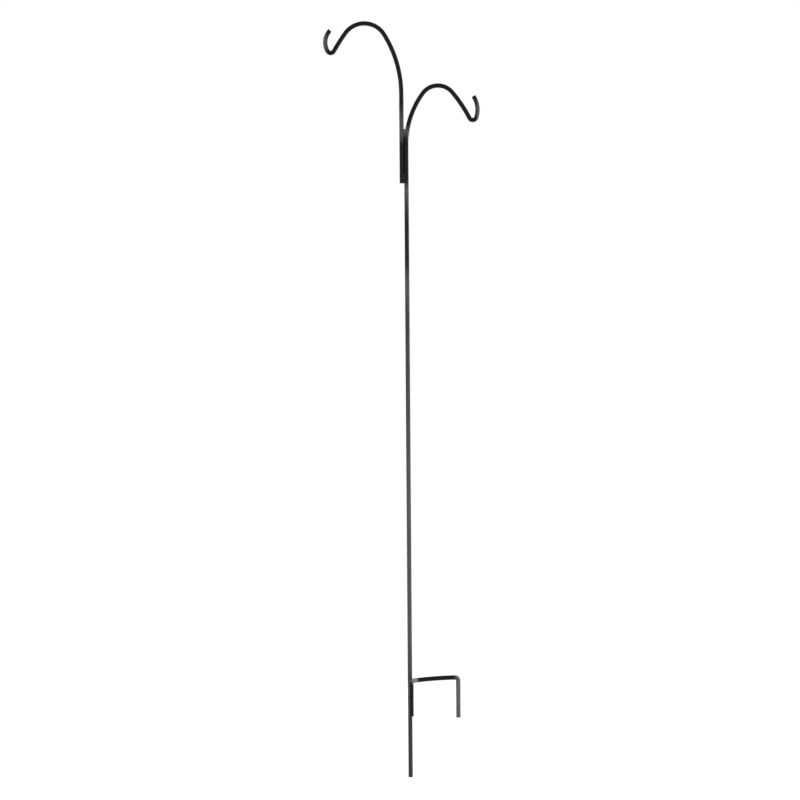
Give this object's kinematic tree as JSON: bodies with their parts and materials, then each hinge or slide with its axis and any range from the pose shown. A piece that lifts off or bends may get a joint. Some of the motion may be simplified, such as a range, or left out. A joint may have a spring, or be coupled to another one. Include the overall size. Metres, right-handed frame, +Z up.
{
  "type": "hanging plant stand",
  "caption": "Tall black steel rod for the ground with a high hook, a lower hook on the other side and a step bracket near its foot.",
  "frame": {"origin": "centre of the stem's lower end, which is pushed into the ground", "axes": "+Z up along the stem, +X towards the short hook and the step's prong, -Y towards the side on which the step's leg is welded"},
  "size_m": [0.4408, 0.0258, 2.1334],
  "materials": {
    "rod_paint": "satin black powder coat",
    "weld_paint": "satin black powder coat over weld beads"
  },
  "bodies": {
    "root": {"main_rod": "rod_paint", "tall_hook": "rod_paint", "step_bracket": "rod_paint", "hook_weld_front_lower": "weld_paint", "hook_weld_front_upper": "weld_paint", "hook_weld_back_lower": "weld_paint", "hook_weld_back_upper": "weld_paint", "step_weld_left_lower": "weld_paint", "step_weld_left_upper": "weld_paint", "step_weld_right_lower": "weld_paint", "step_weld_right_upper": "weld_paint"}
  },
  "joints": []
}
